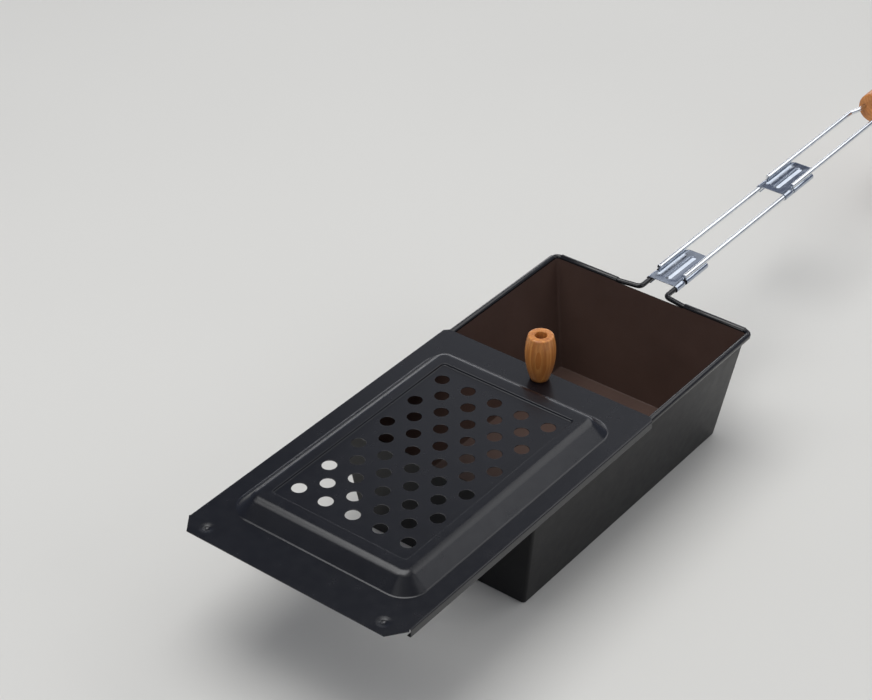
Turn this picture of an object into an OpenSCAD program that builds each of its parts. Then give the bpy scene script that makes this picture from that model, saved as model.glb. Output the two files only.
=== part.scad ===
// Campfire popcorn popper: a steel pan with a sliding perforated lid and a plug-together wire handle.
// Millimetres. +X runs from the pan to the grip, +Y to the left, +Z up; the origin is mid bottom.

/* [Pan] */
// Length of the rim over its rolled edge
rim_l = 215; // [180:1:250]
// Width of the rim over its rolled edge
rim_w = 140; // [115:1:170]
// Height of the rim wire's centre above the table
rim_z = 71.5; // [50:0.5:95]
// How far each end wall leans in from the rim to the bottom
end_draw = 11.5; // [7:0.5:20]
// How far each side wall leans in from the rim to the bottom
side_draw = 14.5; // [7:0.5:22]
// Thickness of the pan's sheet
pan_t = 0.4; // [0.3:0.05:0.8]
// Corner radius of the rim wire's centre line
rim_corner_r = 4; // [3:0.25:9]
// Corner radius of the bottom
base_corner_r = 1.5; // [1:0.25:6]
// Width of the notch in the back hem
notch_w = 47; // [34:1:70]
// Depth of the notch's cut edge below the rim wire's centre
notch_drop = 0.25; // [0.25:0.25:8]
// Angle at which the slit in the rolled hem starts
slit_from = 205; // [200:1:215]
// Angle of the slit in the rolled hem
slit_angle = 22; // [10:1:30]

/* [Wire] */
// Diameter of the rim and handle wire
wire_d = 3.1; // [2:0.1:3.5]
// Distance between the two legs of the handle, centre to centre
leg_gap = 17.6; // [15:0.2:24]
// Bend radius where the rim wire turns out into a prong
prong_bend_r = 3; // [2.5:0.5:7]
// Radial room between the rim wire and the hem rolled round it
hem_fit = 0.03; // [0.01:0.01:0.08]

/* [Lid] */
// Thickness of the lid's sheet
lid_t = 0.4; // [0.3:0.05:0.8]
// How far the lid stands open from shut
lid_open = 105.9; // [0:0.1:110]
// Running room between the rim's top and the lid's flange
lid_ride = 0.3; // [0.3:0.05:1]
// Running room between the rim's side and the runner
runner_gap = 1; // [0.3:0.05:1.5]
// Running room between the rim's underside and the runner's lip
lip_gap = 0.3; // [0.3:0.05:1]
// Width of the runner's lip, over the runner
lip_w = 2.6; // [1.6:0.1:3]
// Front edge of the lid to the front end of its runners
runner_set = 11.6; // [11:0.2:30]
// Length of the front corner cut along the lid
front_cut_l = 10; // [4:0.5:10.5]
// Width of the front corner cut across the lid
front_cut_w = 7.5; // [4:0.5:10]
// Size of the back corner cut
back_cut = 3; // [1:0.5:6]
// How far the shut lid's back edge stops short of the rim's outer edge
lid_back_set = 1.6; // [0.5:0.1:2.5]
// Flange from the lid's front edge to the dome
flange_front = 24.5; // [20:0.5:34]
// Flange from the lid's back edge to the dome
flange_back = 19.5; // [17:0.5:30]
// Flange from the lid's side to the dome
flange_side = 11.2; // [8:0.1:20]

/* [Lid dome] */
// Height of the dome's ridge above the flange
dome_h = 8.4; // [5:0.2:10.5]
// Width of the dome's sloping shoulder
shoulder_w = 12; // [11:0.5:16]
// Radius of the rounded crest where the shoulder meets the ridge
crest_r = 7; // [3:0.5:8]
// Flats that make up the rounded crest
crest_steps = 8; // [4:1:16]
// Corner radius of the ridge inside the shoulder
ridge_corner_r = 1.5; // [1:0.25:5]
// Flat ridge between the shoulder and the recess, at the sides
ridge_side = 4.3; // [0.8:0.1:6]
// Flat ridge between the shoulder and the recess, at the ends
ridge_end = 6; // [0.8:0.1:10]
// Depth of the recessed panel below the ridge
recess_d = 1.2; // [0.6:0.1:2.5]
// Diameter of a vent hole
hole_d = 8.2; // [4:0.1:9.5]
// Spacing of the vent holes along the lid
hole_dx = 24; // [21:0.5:34]
// Spacing of the vent holes across the lid
hole_dy = 17.8; // [16:0.2:26]
// Least distance from a hole's centre to the panel's edge
hole_edge = 8; // [6:0.5:16]

/* [Lid stops] */
// Mouth of a stop dimple under the lid
dimple_d = 4.8; // [3.5:0.1:6]
// Depth of a stop dimple below the lid
dimple_depth = 1.2; // [0.8:0.1:1.8]
// Front edge of the lid to the dimple's centre
dimple_in = 8; // [5:0.5:14]
// Side of the lid to the dimple's centre
dimple_side = 14; // [12:0.5:24]
// Room between a dimple and the front rim when the lid is shut
stop_gap = 0.3; // [0.1:0.1:1]

/* [Knob] */
// Height of the knob
knob_h = 29; // [22:0.5:40]
// Diameter of the knob at its belly
knob_d = 17.3; // [14:0.1:24]
// Diameter of the knob's foot
knob_foot_d = 10; // [8:0.1:13]
// Diameter of the knob's flat top, before its edge is rounded
knob_top_d = 14; // [11:0.1:16]
// Height of the belly above the foot
knob_belly_z = 18; // [12:0.5:20]
// Rounding of the knob's top edge
knob_edge_r = 1; // [0.4:0.1:1.5]
// Lid's back edge to the knob's axis
knob_in = 7.3; // [6.6:0.1:9]
// Depth of the counterbore in the knob's top
counterbore_depth = 9; // [5:0.5:14]

/* [Knob screw] */
// Diameter of the screw
screw_d = 3; // [2.5:0.1:4]
// Diameter of the screw's head
head_d = 5.8; // [5:0.1:7]
// Height of the screw's head
head_h = 1.8; // [1.2:0.1:2.5]
// Width of the cross slots in the head
driver_w = 0.8; // [0.5:0.1:1.2]
// Depth of the cross slots in the head
driver_depth = 1; // [0.5:0.1:1.1]
// Length of the cross slots in the head
driver_l = 3.6; // [2.5:0.1:4.5]
// Radial room round the screw's head in the counterbore
driver_gap = 0.5; // [0.3:0.1:1]
// Radial room round the washer in the counterbore
washer_gap = 0.2; // [0.1:0.05:0.5]
// Thickness of the washer
washer_t = 0.5; // [0.3:0.1:1]
// Nut across its flats
nut_af = 5.5; // [5.2:0.1:7.5]
// Height of the nut
nut_h = 2.4; // [1.6:0.1:3]
// How far the screw's tip stands out of the nut
tip_out = 0.5; // [0:0.1:0.8]
// Radial room round the screw in the knob, the washer and the lid
screw_room = 0.1; // [0.05:0.05:0.3]
// Radial fit of the nut on the screw
thread_fit = 0.03; // [0.01:0.01:0.1]

/* [Handle clips] */
// Rim's outer edge to the front of the extension's clip
clip_stand = 10; // [8:0.5:20]
// Length of a clip
clip_l = 40; // [36:0.5:55]
// Thickness of a clip's sheet
clip_t = 0.6; // [0.5:0.1:1.2]
// Radial running fit of a wire in a clip's curled edge
clip_fit = 0.05; // [0.02:0.01:0.1]
// Reach of a curled edge's lip under its wire
curl_lip = 1.2; // [0.6:0.1:2]
// Length of the front curl
front_curl_l = 8.5; // [5:0.5:9]
// Gap between the front and the rear curl
curl_slot = 2.2; // [1:0.1:4]
// Front of the clip to the end of the rear curl
curl_end = 34; // [28:0.5:35]
// Front of the clip to the small cut in the rear curl's lip
lip_cut_x = 24; // [16:0.5:26]
// Width of the small cut in the rear curl's lip
lip_cut_w = 1.4; // [0.8:0.1:2]
// Radius of the rib pressed along a clip
rib_r = 1.5; // [1.1:0.1:2.5]
// Front of the clip to the start of the rib
rib_from = 6; // [4:0.5:10]
// Rear of the clip to the end of the rib
rib_stop = 5; // [3:0.5:10]
// Radius of a clip's rear corners
clip_corner_r = 4; // [1:0.5:6]
// Depth to which a wire is pushed into a clip
insert_l = 32; // [22:0.5:34]
// Front of a clip to the tips of the legs welded on it
leg_set = 10; // [8:0.5:14]
// How far a leg sinks into its clip at the weld
weld = 0.1; // [0.02:0.02:0.2]

/* [Handle sections] */
// Front of the extension's clip to the front of the grip's clip
ext_pitch = 125.5; // [90:0.5:160]
// Bend radius of the extension's closed end
ext_bend_r = 4; // [3:0.5:6]
// Front of the grip's clip to the grip's front end
grip_run = 130.5; // [80:0.5:140]
// Length of the kink where the legs close in on the grip
kink_l = 9; // [6:0.5:20]
// Radial swell of the wire at a kink
kink_swell = 0.05; // [0.02:0.01:0.1]
// Straight of the legs between the kink and the grip
kink_end = 5; // [1.7:0.1:8]
// Distance between the legs in the grip, centre to centre
grip_gap = 11.8; // [10:0.2:14]
// Length of the grip
grip_l = 95; // [70:1:130]
// Diameter of the grip
grip_d = 21; // [18:0.5:34]
// Rounding of the grip's ends
grip_edge_r = 2.5; // [1:0.25:5]
// Bend radius of the hairpin in the grip's butt
butt_bend_r = 3.5; // [2.5:0.25:4.5]
// Room round the wire in the grip
bore_room = 0.1; // [0.05:0.05:0.3]
// How deep the hairpin lies below the grip's butt
butt_set = 0.3; // [0.1:0.1:2]

/* [Hidden] */
$fn = 48;
// Steps in the knob's curved side
knob_steps = 12;
// Sides of a nut
nut_sides = 6;
// Thin layer that a hull starts and ends with, and overshoot of a cut
skin = 0.01;
over = 1;

coat_black = [0.12, 0.12, 0.13];
coat_lid = [0.15, 0.15, 0.18];
zinc = [0.78, 0.80, 0.83];
wood_knob = [0.66, 0.38, 0.18];
wood_grip = [0.80, 0.45, 0.20];
steel = [0.6, 0.6, 0.62];

// Rim: the wire's centre line, the bore of the hem and its outside
wire_r = wire_d / 2;
hem_bore_r = wire_r + hem_fit;
hem_r = hem_bore_r + pan_t;
rim_x = rim_l / 2 - hem_r;
rim_y = rim_w / 2 - hem_r;
rim_top = rim_z + hem_r;
base_l = rim_l - 2 * end_draw;
base_w = rim_w - 2 * side_draw;

// Lid: its level, its outline from the shut place, and its place as it stands
flange_z = rim_top + lid_ride;
flange_top = flange_z + lid_t;
lip_top = rim_z - hem_r - lip_gap;
lid_w = rim_w + 2 * (runner_gap + lid_t);
lid_l = rim_l - lid_back_set + stop_gap + dimple_d / 2 + dimple_in;
lid_x = rim_l / 2 - lid_back_set - lid_open;
dome_l = lid_l - flange_front - flange_back;
dome_w = lid_w - 2 * flange_side;
dome_x = -flange_back - dome_l / 2;
ridge_l = dome_l - 2 * shoulder_w;
ridge_w = dome_w - 2 * shoulder_w;
crest_z = dome_h - crest_r;
slope_a = atan2(crest_z, shoulder_w) + asin(crest_r / norm([shoulder_w, crest_z]));
dome_cut = shoulder_w - lid_t / 2;
recess_l = ridge_l - 2 * ridge_end;
recess_w = ridge_w - 2 * ridge_side;
panel_top = dome_h - recess_d;
hole_nx = floor((recess_l - 2 * hole_edge) / hole_dx) + 1;
hole_ny = floor((recess_w - 2 * hole_edge) / hole_dy) + 1;
dimple_r = (dimple_d * dimple_d / 4 + dimple_depth * dimple_depth) / (2 * dimple_depth);

// Knob: its axis and its stack of screw, washer and nut
knob_x = lid_x - knob_in;
counterbore_d = head_d + 2 * driver_gap;
washer_z = flange_top + knob_h - counterbore_depth;
head_z = washer_z + washer_t;
nut_z = flange_z - nut_h;
screw_hole_d = screw_d + 2 * screw_room;

// Handle: the levels of the wires, each on top of the clip that takes the one before
curl_r = wire_r + clip_fit;
leg_rise = curl_r + clip_t + wire_r - weld;
ext_z = rim_z + leg_rise;
grip_z = ext_z + leg_rise;
clip1_x = rim_l / 2 + clip_stand;
clip2_x = clip1_x + ext_pitch;
wood_x = clip2_x + grip_run;
butt_x = wood_x + grip_l;

// Rectangle with rounded corners
module rounded_rect(l, w, r) {
    square([l - 2 * r, w], center = true);
    square([l, w - 2 * r], center = true);
    for (x = [-1, 1], y = [-1, 1])
        translate([x * (l / 2 - r), y * (w / 2 - r)])
            circle(r);
}

// Extrudes a profile along the straight sides of a rounded rectangle; its x points out and its y up
module along_sides(l, w, r) {
    for (k = [0:3]) {
        run = (k % 2 == 0 ? l : w) - 2 * r;
        reach = (k % 2 == 0 ? w : l) / 2;
        rotate(90 * k)
            translate([0, reach, 0])
                rotate([90, 0, 90])
                    linear_extrude(run, center = true)
                        children();
    }
}

// Sweeps a profile all round a rounded rectangle
module around(l, w, r) {
    along_sides(l, w, r)
        children();
    for (k = [0:3]) {
        corner = [k % 3 == 0 ? l / 2 - r : r - l / 2, k < 2 ? w / 2 - r : r - w / 2];
        translate(corner)
            rotate(90 * k)
                rotate_extrude(angle = 90)
                    translate([r, 0])
                        children();
    }
}

// Extrudes a profile along X; the profile's x points to +Y and its y up
module along_x(length) {
    rotate([90, 0, 90])
        linear_extrude(length)
            children();
}

// A flat bent wire: its corner points and the bend radius at each, where a radius of 0 is a sharp kink
function heading(a, b) = atan2(b.y - a.y, b.x - a.x);
function turn(path, i) =
    let (t = heading(path[i], path[i + 1]) - heading(path[i - 1], path[i]))
    t > 180 ? t - 360 : t < -180 ? t + 360 : t;
function setback(path, radii, i) =
    i == 0 || i == len(path) - 1 ? 0 : radii[i] * tan(abs(turn(path, i)) / 2);

module bent_wire(path, radii) {
    for (i = [0:len(path) - 2]) {
        h = heading(path[i], path[i + 1]);
        back = setback(path, radii, i);
        translate(path[i] + back * [cos(h), sin(h)])
            rotate([0, 90, h])
                cylinder(d = wire_d, h = norm(path[i + 1] - path[i]) - back - setback(path, radii, i + 1));
    }
    for (i = [1:len(path) - 2]) {
        h = heading(path[i - 1], path[i]);
        t = turn(path, i);
        start = path[i] - setback(path, radii, i) * [cos(h), sin(h)];
        centre = start + sign(t) * radii[i] * [-sin(h), cos(h)];
        translate(centre)
            if (radii[i] == 0)
                sphere(wire_r + kink_swell);
            else
                rotate(t > 0 ? h - 90 : h + t + 90)
                    rotate_extrude(angle = abs(t))
                        translate([radii[i], 0])
                            circle(d = wire_d);
    }
}

// Tapered box between the bottom and the rim wire's level; inset is the sheet's inner side
module pan_block(inset, floor_z, top_z) {
    hull() {
        translate([0, 0, floor_z])
            linear_extrude(skin)
                rounded_rect(base_l - 2 * inset, base_w - 2 * inset, base_corner_r - inset);
        translate([0, 0, top_z - skin])
            linear_extrude(skin)
                rounded_rect(2 * (rim_x - hem_bore_r - inset), 2 * (rim_y - hem_bore_r - inset),
                    rim_corner_r - hem_bore_r - inset);
    }
}

module hem_profile() {
    difference() {
        circle(hem_r);
        circle(hem_bore_r);
        polygon([[0, 0], for (a = [slit_from, slit_from + slit_angle]) 2 * hem_r * [cos(a), sin(a)]]);
    }
}

// Sheet pan with its sides rolled round the wire, open at the corners and cut away at the back
module pan_body() {
    color(coat_black)
        difference() {
            union() {
                difference() {
                    pan_block(0, 0, rim_z);
                    pan_block(pan_t, pan_t, rim_z + skin);
                }
                translate([0, 0, rim_z])
                    along_sides(2 * rim_x, 2 * rim_y, rim_corner_r)
                        hem_profile();
            }
            translate([rim_x - 2 * hem_r - over, -notch_w / 2, rim_z - notch_drop])
                cube([4 * hem_r + over, notch_w, notch_drop + hem_r + over]);
        }
}

// Wire in the hem, its ends bent out of the notch as two prongs
module rim_wire() {
    tip_x = clip1_x + insert_l;
    path = [[tip_x, leg_gap / 2], [rim_x, leg_gap / 2], [rim_x, rim_y], [-rim_x, rim_y],
        [-rim_x, -rim_y], [rim_x, -rim_y], [rim_x, -leg_gap / 2], [tip_x, -leg_gap / 2]];
    radii = [0, prong_bend_r, rim_corner_r, rim_corner_r, rim_corner_r, rim_corner_r, prong_bend_r, 0];
    color(coat_black)
        translate([0, 0, rim_z])
            bent_wire(path, radii);
}

module lid_outline() {
    half = lid_w / 2;
    polygon([[0, half - back_cut], [-back_cut, half], [front_cut_l - lid_l, half],
        [-lid_l, half - front_cut_w], [-lid_l, front_cut_w - half], [front_cut_l - lid_l, -half],
        [-back_cut, -half], [0, back_cut - half]]);
}

// One face of the shoulder's sheet, from the ridge's edge over the crest and down through the flange
function shoulder_line(r) = let (end_z = crest_z + r * cos(slope_a)) [
    for (i = [0:crest_steps]) let (a = slope_a * i / crest_steps) [r * sin(a), crest_z + r * cos(a)],
    [r * sin(slope_a) + (end_z + lid_t) / tan(slope_a), -lid_t]];

// Sloping shoulder of the dome with its rounded crest
module shoulder_profile() {
    inner = shoulder_line(crest_r - lid_t);
    polygon([for (p = shoulder_line(crest_r)) p, for (i = [len(inner) - 1:-1:0]) inner[i]]);
}

// Dome on the flange's top: shoulder, flat ridge and recessed panel
module lid_dome() {
    around(ridge_l, ridge_w, ridge_corner_r)
        shoulder_profile();
    translate([0, 0, dome_h - lid_t])
        linear_extrude(lid_t)
            difference() {
                rounded_rect(ridge_l, ridge_w, ridge_corner_r);
                rounded_rect(recess_l, recess_w, ridge_corner_r);
            }
    difference() {
        translate([0, 0, panel_top - lid_t])
            linear_extrude(recess_d + lid_t)
                rounded_rect(recess_l + 2 * lid_t, recess_w + 2 * lid_t, ridge_corner_r + lid_t);
        translate([0, 0, panel_top])
            linear_extrude(recess_d + over)
                rounded_rect(recess_l, recess_w, ridge_corner_r);
    }
}

// Side of the lid folded down and under the rim
module runner() {
    translate([runner_set - lid_l, 0, 0])
        along_x(lid_l - runner_set - back_cut) {
            translate([lid_w / 2 - lid_t, lip_top - lid_t])
                square([lid_t, flange_top - lip_top + lid_t]);
            translate([lid_w / 2 - lip_w, lip_top - lid_t])
                square([lip_w, lid_t]);
        }
}

// Places a thing at both stop dimples' sphere centres
module at_dimples() {
    for (side = [-1, 1])
        translate([dimple_in - lid_l, side * (lid_w / 2 - dimple_side), flange_z + dimple_r - dimple_depth])
            children();
}

// Two rectangular patterns of vent holes, one in the gaps of the other
module vent_holes() {
    for (shift = [0, 1], i = [0:hole_nx - 1 - shift], j = [0:hole_ny - 1 - shift])
        translate([(i - (hole_nx - 1 - shift) / 2) * hole_dx, (j - (hole_ny - 1 - shift) / 2) * hole_dy,
                panel_top - lid_t - over])
            cylinder(d = hole_d, h = lid_t + 2 * over);
}

module lid_panel() {
    color(coat_lid)
        translate([lid_x, 0, 0])
            difference() {
                union() {
                    translate([0, 0, flange_z])
                        linear_extrude(lid_t)
                            difference() {
                                lid_outline();
                                translate([dome_x, 0])
                                    rounded_rect(ridge_l + 2 * dome_cut, ridge_w + 2 * dome_cut,
                                        ridge_corner_r + dome_cut);
                            }
                    translate([dome_x, 0, flange_top])
                        lid_dome();
                    runner();
                    mirror([0, 1, 0])
                        runner();
                    intersection() {
                        at_dimples()
                            sphere(dimple_r);
                        translate([-lid_l, -lid_w / 2, flange_top - lid_t - dimple_depth - over])
                            cube([lid_l, lid_w, lid_t + dimple_depth + over]);
                    }
                }
                at_dimples()
                    sphere(dimple_r - lid_t);
                translate([dome_x, 0, flange_top])
                    vent_holes();
                translate([-knob_in, 0, flange_z - over])
                    cylinder(d = screw_hole_d, h = lid_t + 2 * over);
            }
}

// Radius of the knob's side at a height: two parabolas that meet at the belly
function knob_r(z) =
    let (end_d = z < knob_belly_z ? knob_foot_d : knob_top_d,
        reach = z < knob_belly_z ? knob_belly_z : knob_h - knob_belly_z,
        far = (z - knob_belly_z) / reach)
    knob_d / 2 - (knob_d - end_d) / 2 * far * far;

module lid_knob() {
    side_h = knob_h - knob_edge_r;
    side_r = knob_r(side_h);
    color(wood_knob)
        translate([knob_x, 0, flange_top])
            difference() {
                rotate_extrude() {
                    polygon([[0, 0],
                        for (i = [0:knob_steps]) let (z = side_h * i / knob_steps) [knob_r(z), z],
                        [side_r - knob_edge_r, knob_h], [0, knob_h]]);
                    translate([side_r - knob_edge_r, side_h])
                        circle(knob_edge_r);
                }
                translate([0, 0, -over])
                    cylinder(d = screw_hole_d, h = knob_h + 2 * over);
                translate([0, 0, knob_h - counterbore_depth])
                    cylinder(d = counterbore_d, h = counterbore_depth + over);
            }
}

module knob_screw() {
    tip_z = nut_z - tip_out;
    color(steel)
        translate([knob_x, 0, 0])
            difference() {
                union() {
                    translate([0, 0, tip_z])
                        cylinder(d = screw_d, h = head_z - tip_z);
                    translate([0, 0, head_z])
                        cylinder(d = head_d, h = head_h);
                }
                translate([0, 0, head_z + head_h - driver_depth])
                    for (a = [0, 90])
                        rotate(a)
                            translate([-driver_l / 2, -driver_w / 2, 0])
                                cube([driver_l, driver_w, driver_depth + over]);
            }
}

module knob_washer() {
    color(steel)
        translate([knob_x, 0, washer_z])
            difference() {
                cylinder(d = counterbore_d - 2 * washer_gap, h = washer_t);
                translate([0, 0, -over])
                    cylinder(d = screw_hole_d, h = washer_t + 2 * over);
            }
}

module knob_nut() {
    color(steel)
        translate([knob_x, 0, nut_z])
            difference() {
                cylinder(d = nut_af / cos(180 / nut_sides), h = nut_h, $fn = nut_sides);
                translate([0, 0, -over])
                    cylinder(r = screw_d / 2 + thread_fit, h = nut_h + 2 * over);
            }
}

// Half-round curl at a clip's edge, with a flat lip under the wire
module curl_profile() {
    translate([leg_gap / 2, 0]) {
        difference() {
            circle(curl_r + clip_t);
            circle(curl_r);
            translate([-curl_r - clip_t - over, -curl_r - clip_t - over])
                square([curl_r + clip_t + over, 2 * (curl_r + clip_t + over)]);
        }
        translate([-curl_lip, -curl_r - clip_t])
            square([curl_lip, clip_t]);
    }
}

// Pressed clip, from its front edge; the wires that it takes lie at its own zero height
module clip() {
    rear_curl_x = front_curl_l + curl_slot;
    difference() {
        union() {
            translate([0, 0, curl_r])
                linear_extrude(clip_t) {
                    translate([0, -leg_gap / 2])
                        square([clip_l - clip_corner_r, leg_gap]);
                    translate([0, clip_corner_r - leg_gap / 2])
                        square([clip_l, leg_gap - 2 * clip_corner_r]);
                    for (side = [-1, 1])
                        translate([clip_l - clip_corner_r, side * (leg_gap / 2 - clip_corner_r)])
                            circle(clip_corner_r);
                }
            for (side = [0, 1])
                mirror([0, side, 0]) {
                    along_x(front_curl_l)
                        curl_profile();
                    translate([rear_curl_x, 0, 0])
                        along_x(curl_end - rear_curl_x)
                            curl_profile();
                }
            translate([rib_from, 0, curl_r])
                rotate([0, 90, 0])
                    cylinder(r = rib_r, h = clip_l - rib_stop - rib_from);
        }
        translate([0, -leg_gap / 2, curl_r - rib_r - over])
            cube([clip_l, leg_gap, rib_r + over]);
        translate([rib_from, 0, curl_r])
            rotate([0, 90, 0])
                cylinder(r = rib_r - clip_t, h = clip_l - rib_stop - rib_from);
        translate([lip_cut_x, -leg_gap / 2 - curl_r - clip_t - over, -curl_r - clip_t - over])
            cube([lip_cut_w, leg_gap + 2 * (curl_r + clip_t + over), clip_t + over]);
    }
}

// Plated U whose legs are welded on its clip and whose closed end goes into the next clip
module extension_wire() {
    tip_x = clip1_x + leg_set;
    end_x = clip2_x + insert_l - wire_r;
    path = [[tip_x, leg_gap / 2], [end_x, leg_gap / 2], [end_x, -leg_gap / 2], [tip_x, -leg_gap / 2]];
    color(zinc)
        translate([0, 0, ext_z])
            bent_wire(path, [0, ext_bend_r, ext_bend_r, 0]);
}

module extension_clip() {
    color(zinc)
        translate([clip1_x, 0, rim_z])
            clip();
}

// Plated hairpin: legs welded on its clip, kinked in to the grip and closed in the grip's butt
module grip_wire() {
    tip_x = clip2_x + leg_set;
    kink_x = wood_x - kink_end - kink_l;
    end_x = butt_x - butt_set - wire_r;
    half = [[tip_x, leg_gap / 2], [kink_x, leg_gap / 2], [kink_x + kink_l, grip_gap / 2],
        [end_x, grip_gap / 2]];
    path = [for (p = half) p, for (i = [len(half) - 1:-1:0]) [half[i].x, -half[i].y]];
    color(zinc)
        translate([0, 0, grip_z])
            bent_wire(path, [0, 0, 0, butt_bend_r, butt_bend_r, 0, 0, 0]);
}

module grip_clip() {
    color(zinc)
        translate([clip2_x, 0, ext_z])
            clip();
}

// Turned grip with two bores and a groove across its butt for the hairpin
module wooden_grip() {
    bore_d = wire_d + 2 * bore_room;
    groove = butt_set + wire_d + butt_bend_r;
    color(wood_grip)
        translate([wood_x, 0, grip_z])
            difference() {
                rotate([0, 90, 0])
                    rotate_extrude()
                        intersection() {
                            translate([0, grip_l / 2])
                                rounded_rect(grip_d, grip_l, grip_edge_r);
                            square([grip_d / 2, grip_l]);
                        }
                for (side = [-1, 1])
                    translate([-over, side * grip_gap / 2, 0])
                        rotate([0, 90, 0])
                            cylinder(d = bore_d, h = grip_l + 2 * over);
                translate([grip_l - groove, -grip_gap / 2, -bore_d / 2])
                    cube([groove + over, grip_gap, bore_d]);
            }
}

pan_body();
rim_wire();
lid_panel();
lid_knob();
knob_screw();
knob_washer();
knob_nut();
extension_wire();
extension_clip();
grip_wire();
grip_clip();
wooden_grip();
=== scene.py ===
import math

import bmesh
import bpy
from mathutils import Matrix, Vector


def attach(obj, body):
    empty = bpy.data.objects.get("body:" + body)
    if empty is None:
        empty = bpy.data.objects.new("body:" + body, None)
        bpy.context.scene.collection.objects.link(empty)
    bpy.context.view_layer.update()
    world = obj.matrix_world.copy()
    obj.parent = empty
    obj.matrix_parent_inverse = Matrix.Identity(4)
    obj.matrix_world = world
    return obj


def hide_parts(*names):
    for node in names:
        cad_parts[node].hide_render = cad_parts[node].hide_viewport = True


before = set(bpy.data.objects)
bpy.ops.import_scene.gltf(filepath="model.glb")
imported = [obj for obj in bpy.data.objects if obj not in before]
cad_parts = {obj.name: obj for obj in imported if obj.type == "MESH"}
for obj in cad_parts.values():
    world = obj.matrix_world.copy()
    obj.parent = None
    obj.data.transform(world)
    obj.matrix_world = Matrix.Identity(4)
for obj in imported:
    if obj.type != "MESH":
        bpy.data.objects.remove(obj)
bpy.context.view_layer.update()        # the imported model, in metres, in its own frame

print("frame loaded:", ", ".join(sorted(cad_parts)))

near = 1e-5              # two places closer than this, in metres, are the same place


# Helpers for working in edit mode as by hand

def take(piece):
    # only this piece is selected and active
    bpy.ops.object.select_all(action="DESELECT")
    piece.select_set(True)
    bpy.context.view_layer.objects.active = piece


def addStart(operator, name, at, scale=(1, 1, 1), turn=(0, 0, 0), **settings):
    # a primitive at its size and place, with the place put into its mesh
    bpy.ops.object.select_all(action="DESELECT")
    operator(location=at, rotation=turn, **settings)
    piece = bpy.context.object
    piece.name = piece.data.name = name
    piece.scale = scale
    bpy.ops.object.transform_apply(location=True, rotation=True, scale=True)
    return piece


def openMesh(piece):
    take(piece)
    bpy.ops.object.mode_set(mode="EDIT")
    bpy.ops.mesh.select_all(action="SELECT")


def closeMesh():
    bpy.ops.object.mode_set(mode="OBJECT")


def middle(part):
    # where an edge or face is
    return sum((v.co for v in part.verts), Vector()) / len(part.verts)


def pick(kind, test):
    # selects the vertices, edges or faces whose place or normal passes the test
    bpy.ops.mesh.select_mode(type=kind)
    bpy.ops.mesh.select_all(action="DESELECT")
    mesh = bmesh.from_edit_mesh(bpy.context.edit_object.data)
    mesh.normal_update()
    parts = {"VERT": mesh.verts, "EDGE": mesh.edges, "FACE": mesh.faces}[kind]
    for part in parts:
        if test(part):
            part.select_set(True)
    mesh.select_flush_mode()
    bmesh.update_edit_mesh(bpy.context.edit_object.data)


def isFold(edge, degrees):
    # an edge between two faces that turns by more than so many degrees
    return len(edge.link_faces) == 2 and edge.calc_face_angle() > math.radians(degrees)


def push(step):
    # extrudes what is selected by a step
    bpy.ops.mesh.extrude_region_move(TRANSFORM_OT_translate={"value": step})


def shift(step):
    bpy.ops.transform.translate(value=step)


def sliceMesh(at, facing, **settings):
    bpy.ops.mesh.select_all(action="SELECT")
    bpy.ops.mesh.bisect(plane_co=at, plane_no=Vector(facing).normalized(), threshold=near,
                        **settings)


def faceOutwards(centre):
    # merges doubles and turns the faces of an open sheet away from a point inside it
    bpy.ops.mesh.select_all(action="SELECT")
    bpy.ops.mesh.remove_doubles(threshold=near / 10)
    bpy.ops.mesh.normals_make_consistent(inside=False)
    mesh = bmesh.from_edit_mesh(bpy.context.edit_object.data)
    mesh.normal_update()
    lean = sum(f.normal.dot(middle(f) - Vector(centre)) * f.calc_area() for f in mesh.faces)
    if lean < 0:
        bpy.ops.mesh.flip_normals()


def applyModifier(piece, kind, **settings):
    take(piece)
    modifier = piece.modifiers.new(kind, kind)
    for key, value in settings.items():
        setattr(modifier, key, value)
    bpy.ops.object.modifier_apply(modifier=modifier.name)


def cutWith(piece, tool, operation="DIFFERENCE"):
    # boolean with a tool that isn't kept
    applyModifier(piece, "BOOLEAN", operation=operation, solver="EXACT", object=tool)
    bpy.data.meshes.remove(tool.data)


def joinPieces(name, pieces):
    take(pieces[0])
    for piece in pieces[1:]:
        piece.select_set(True)
    bpy.ops.object.join()
    pieces[0].name = pieces[0].data.name = name
    return pieces[0]


def openEdges(piece):
    # how many edges don't have a face on both sides
    mesh = bmesh.new()
    mesh.from_mesh(piece.data)
    count = sum(not e.is_manifold for e in mesh.edges)
    mesh.free()
    return count


def smoothFaces(piece, angle=35):
    take(piece)
    bpy.ops.object.shade_smooth_by_angle(angle=math.radians(angle))


def dress(piece, finish, body, slot, *nodes):
    # the finish, the body it rides on, its slot (not used) and the CAD nodes it stands for
    if finish:
        piece.data.materials.clear()
        piece.data.materials.append(finish)
    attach(piece, body)
    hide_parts(*nodes)


def turnOnLathe(name, at, along, stations, sides):
    # a disc at the first station, pushed and scaled from station to station
    along = Vector(along)
    across = Vector((1, 1, 1)) - along
    height, radius = stations[0]
    piece = addStart(bpy.ops.mesh.primitive_circle_add, name, Vector(at) + along * height,
                     turn=along.to_track_quat("Z", "Y").to_euler(),
                     vertices=sides, radius=radius, fill_type="NGON")
    openMesh(piece)
    for newHeight, newRadius in stations[1:]:
        push(along * (newHeight - height))
        bpy.ops.transform.resize(value=along + across * (newRadius / radius),
                                 center_override=Vector(at) + along * newHeight)
        height, radius = newHeight, newRadius
    faceOutwards(at)
    closeMesh()
    return piece


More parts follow.
